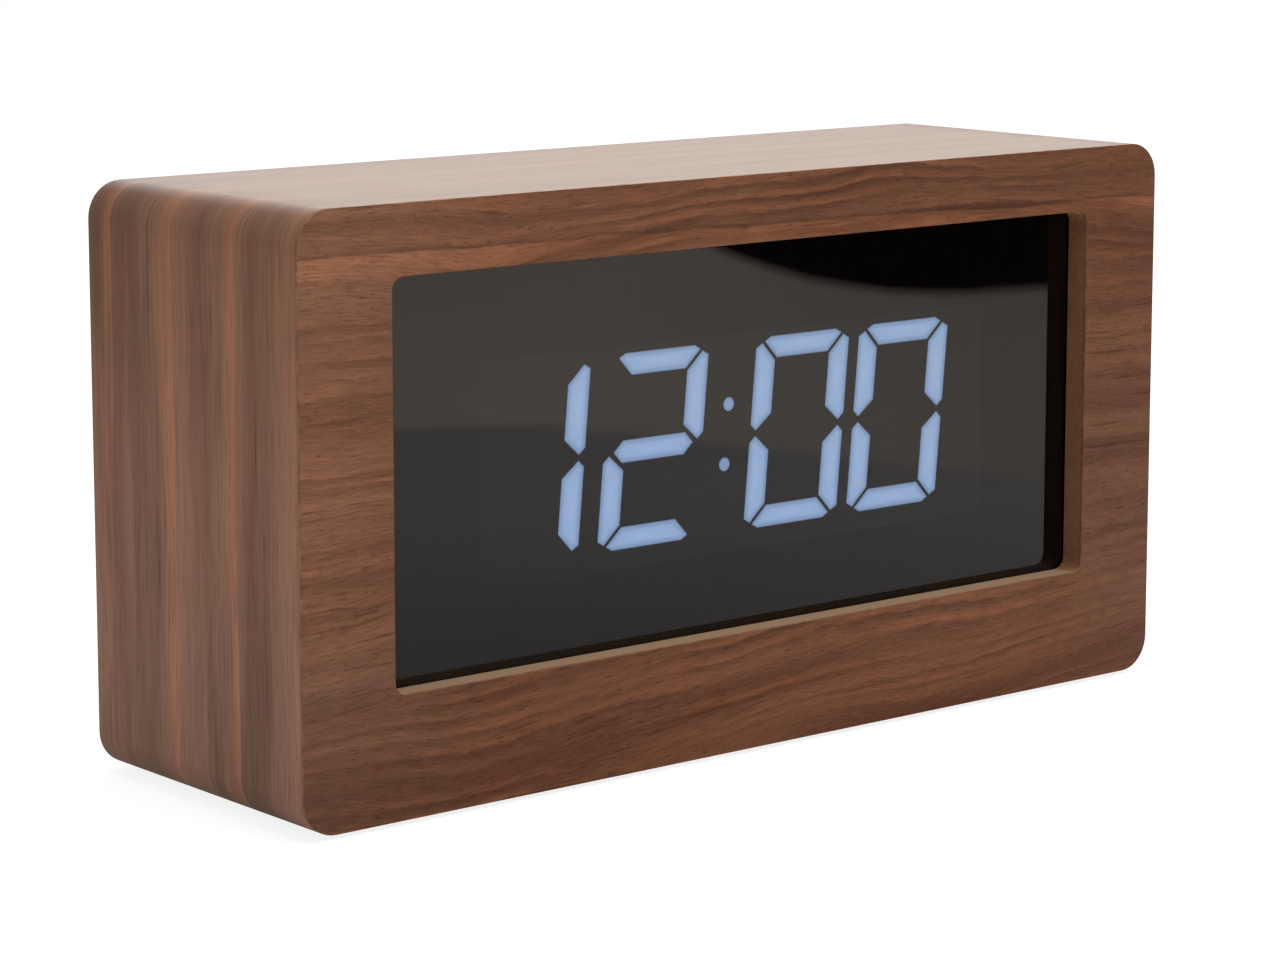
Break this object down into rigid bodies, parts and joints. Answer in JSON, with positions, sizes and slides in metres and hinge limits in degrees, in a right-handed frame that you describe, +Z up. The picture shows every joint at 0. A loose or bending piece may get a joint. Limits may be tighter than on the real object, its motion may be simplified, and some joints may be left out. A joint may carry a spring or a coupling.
{
  "type": "digital desk clock",
  "caption": "Digital desk clock: rounded walnut-veneered box case, recessed smoked window over slanted LED digits, rear cover with push keys, power inlet and hinged battery door.",
  "frame": {"origin": "on the table under the middle of the case, level with the undersides of the feet", "axes": "+X to the right as seen from the front, +Y from the front to the back, +Z up"},
  "size_m": [0.25, 0.079, 0.13],
  "materials": {
    "fibreboard": "raw fibreboard, sealed",
    "walnut_veneer": "satin lacquer",
    "foot_rubber": "matt",
    "smoked_acrylic": "polished",
    "black_plastic": "fine moulded grain",
    "key_plastic": "satin",
    "lit_diffuser": "diffusing resin, lit",
    "dark_diffuser": "diffusing resin, dark",
    "led_package": "moulded",
    "circuit_board": "solder resist",
    "chip_resin": "moulded resin",
    "steel": "plated",
    "connector": "moulded",
    "ribbon": "soft vinyl",
    "capacitor_sleeve": "shrink sleeve",
    "cell_jacket": "printed foil, plain",
    "lead_sleeve": "soft vinyl"
  },
  "bodies": {
    "case": {"top_board": "fibreboard", "bottom_board": "fibreboard", "left_board": "fibreboard", "right_board": "fibreboard", "wrap_veneer": "walnut_veneer", "corner_blocks": "fibreboard", "feet": "foot_rubber", "front_board": "fibreboard", "front_veneer": "walnut_veneer", "lens_tape": "black_plastic", "lens": "smoked_acrylic", "display_carrier": "black_plastic", "carrier_screws": "steel", "light_box": "black_plastic", "lit_segments": "lit_diffuser", "dark_segments": "dark_diffuser", "colon_dots": "lit_diffuser", "led_chips": "led_package", "display_board": "circuit_board", "driver_chip": "chip_resin", "display_screws": "steel", "display_socket": "connector", "ribbon_cable": "ribbon", "main_socket": "connector", "main_board": "circuit_board", "main_screws": "steel", "controller": "chip_resin", "crystal": "steel", "capacitor": "capacitor_sleeve", "buzzer": "chip_resin", "power_socket": "steel", "power_tongue": "chip_resin", "switch_housings": "chip_resin", "rear_cover": "black_plastic", "cover_screws": "steel", "backup_cells": "cell_jacket", "cell_springs": "steel", "cell_contacts": "steel", "battery_leads": "lead_sleeve"},
    "set_button": {"set_key": "key_plastic", "set_plunger": "connector"},
    "alarm_button": {"alarm_key": "key_plastic", "alarm_plunger": "connector"},
    "up_button": {"up_key": "key_plastic", "up_plunger": "connector"},
    "down_button": {"down_key": "key_plastic", "down_plunger": "connector"},
    "light_button": {"light_key": "key_plastic", "light_plunger": "connector"},
    "battery_lid": {"battery_door": "black_plastic"}
  },
  "joints": [
    {"name": "set_press", "type": "slide", "parent": "case", "child": "set_button", "axis": [0, -1, 0], "range_m": [0, 0.0005], "stiffness_N_per_m": 1500},
    {"name": "alarm_press", "type": "slide", "parent": "case", "child": "alarm_button", "axis": [0, -1, 0], "range_m": [0, 0.0005], "stiffness_N_per_m": 1500},
    {"name": "up_press", "type": "slide", "parent": "case", "child": "up_button", "axis": [0, -1, 0], "range_m": [0, 0.0005], "stiffness_N_per_m": 1500},
    {"name": "down_press", "type": "slide", "parent": "case", "child": "down_button", "axis": [0, -1, 0], "range_m": [0, 0.0005], "stiffness_N_per_m": 1500},
    {"name": "light_press", "type": "slide", "parent": "case", "child": "light_button", "axis": [0, -1, 0], "range_m": [0, 0.0005], "stiffness_N_per_m": 1500},
    {"name": "battery_door_hinge", "type": "hinge", "parent": "case", "child": "battery_lid", "pos_m": [0.05869, 0.0366, 0.08355], "axis": [1, 0, 0], "range_deg": [0, 55]}
  ]
}
